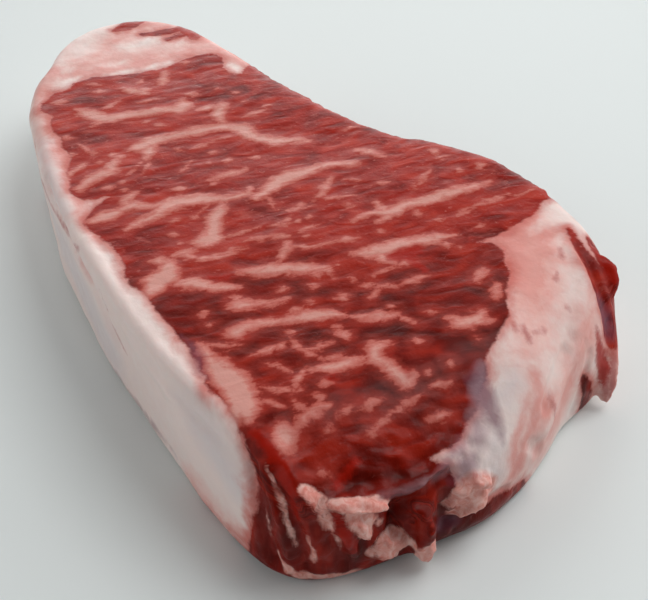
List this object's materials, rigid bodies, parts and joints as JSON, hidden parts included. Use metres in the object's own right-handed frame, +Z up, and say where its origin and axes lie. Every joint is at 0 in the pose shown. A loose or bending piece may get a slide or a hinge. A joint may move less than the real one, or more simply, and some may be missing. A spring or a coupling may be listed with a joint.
{
  "type": "raw beef strip steak",
  "caption": "Raw boneless beef strip steak: a marbled lean slab with a white fat cap along one side, a fatty tail and fat wrapping the thick end.",
  "frame": {"origin": "middle of the steak's box, on the flat underside", "axes": "+X from the thin tail to the thick end, the fat cap on the -Y side, +Z up out of the upper cut face"},
  "size_m": [0.2186, 0.1207, 0.0358],
  "materials": {
    "raw_beef": "moist raw beef, red lean with pink marbling and creamy fat"
  },
  "bodies": {
    "root": {"steak": "raw_beef"}
  },
  "joints": []
}
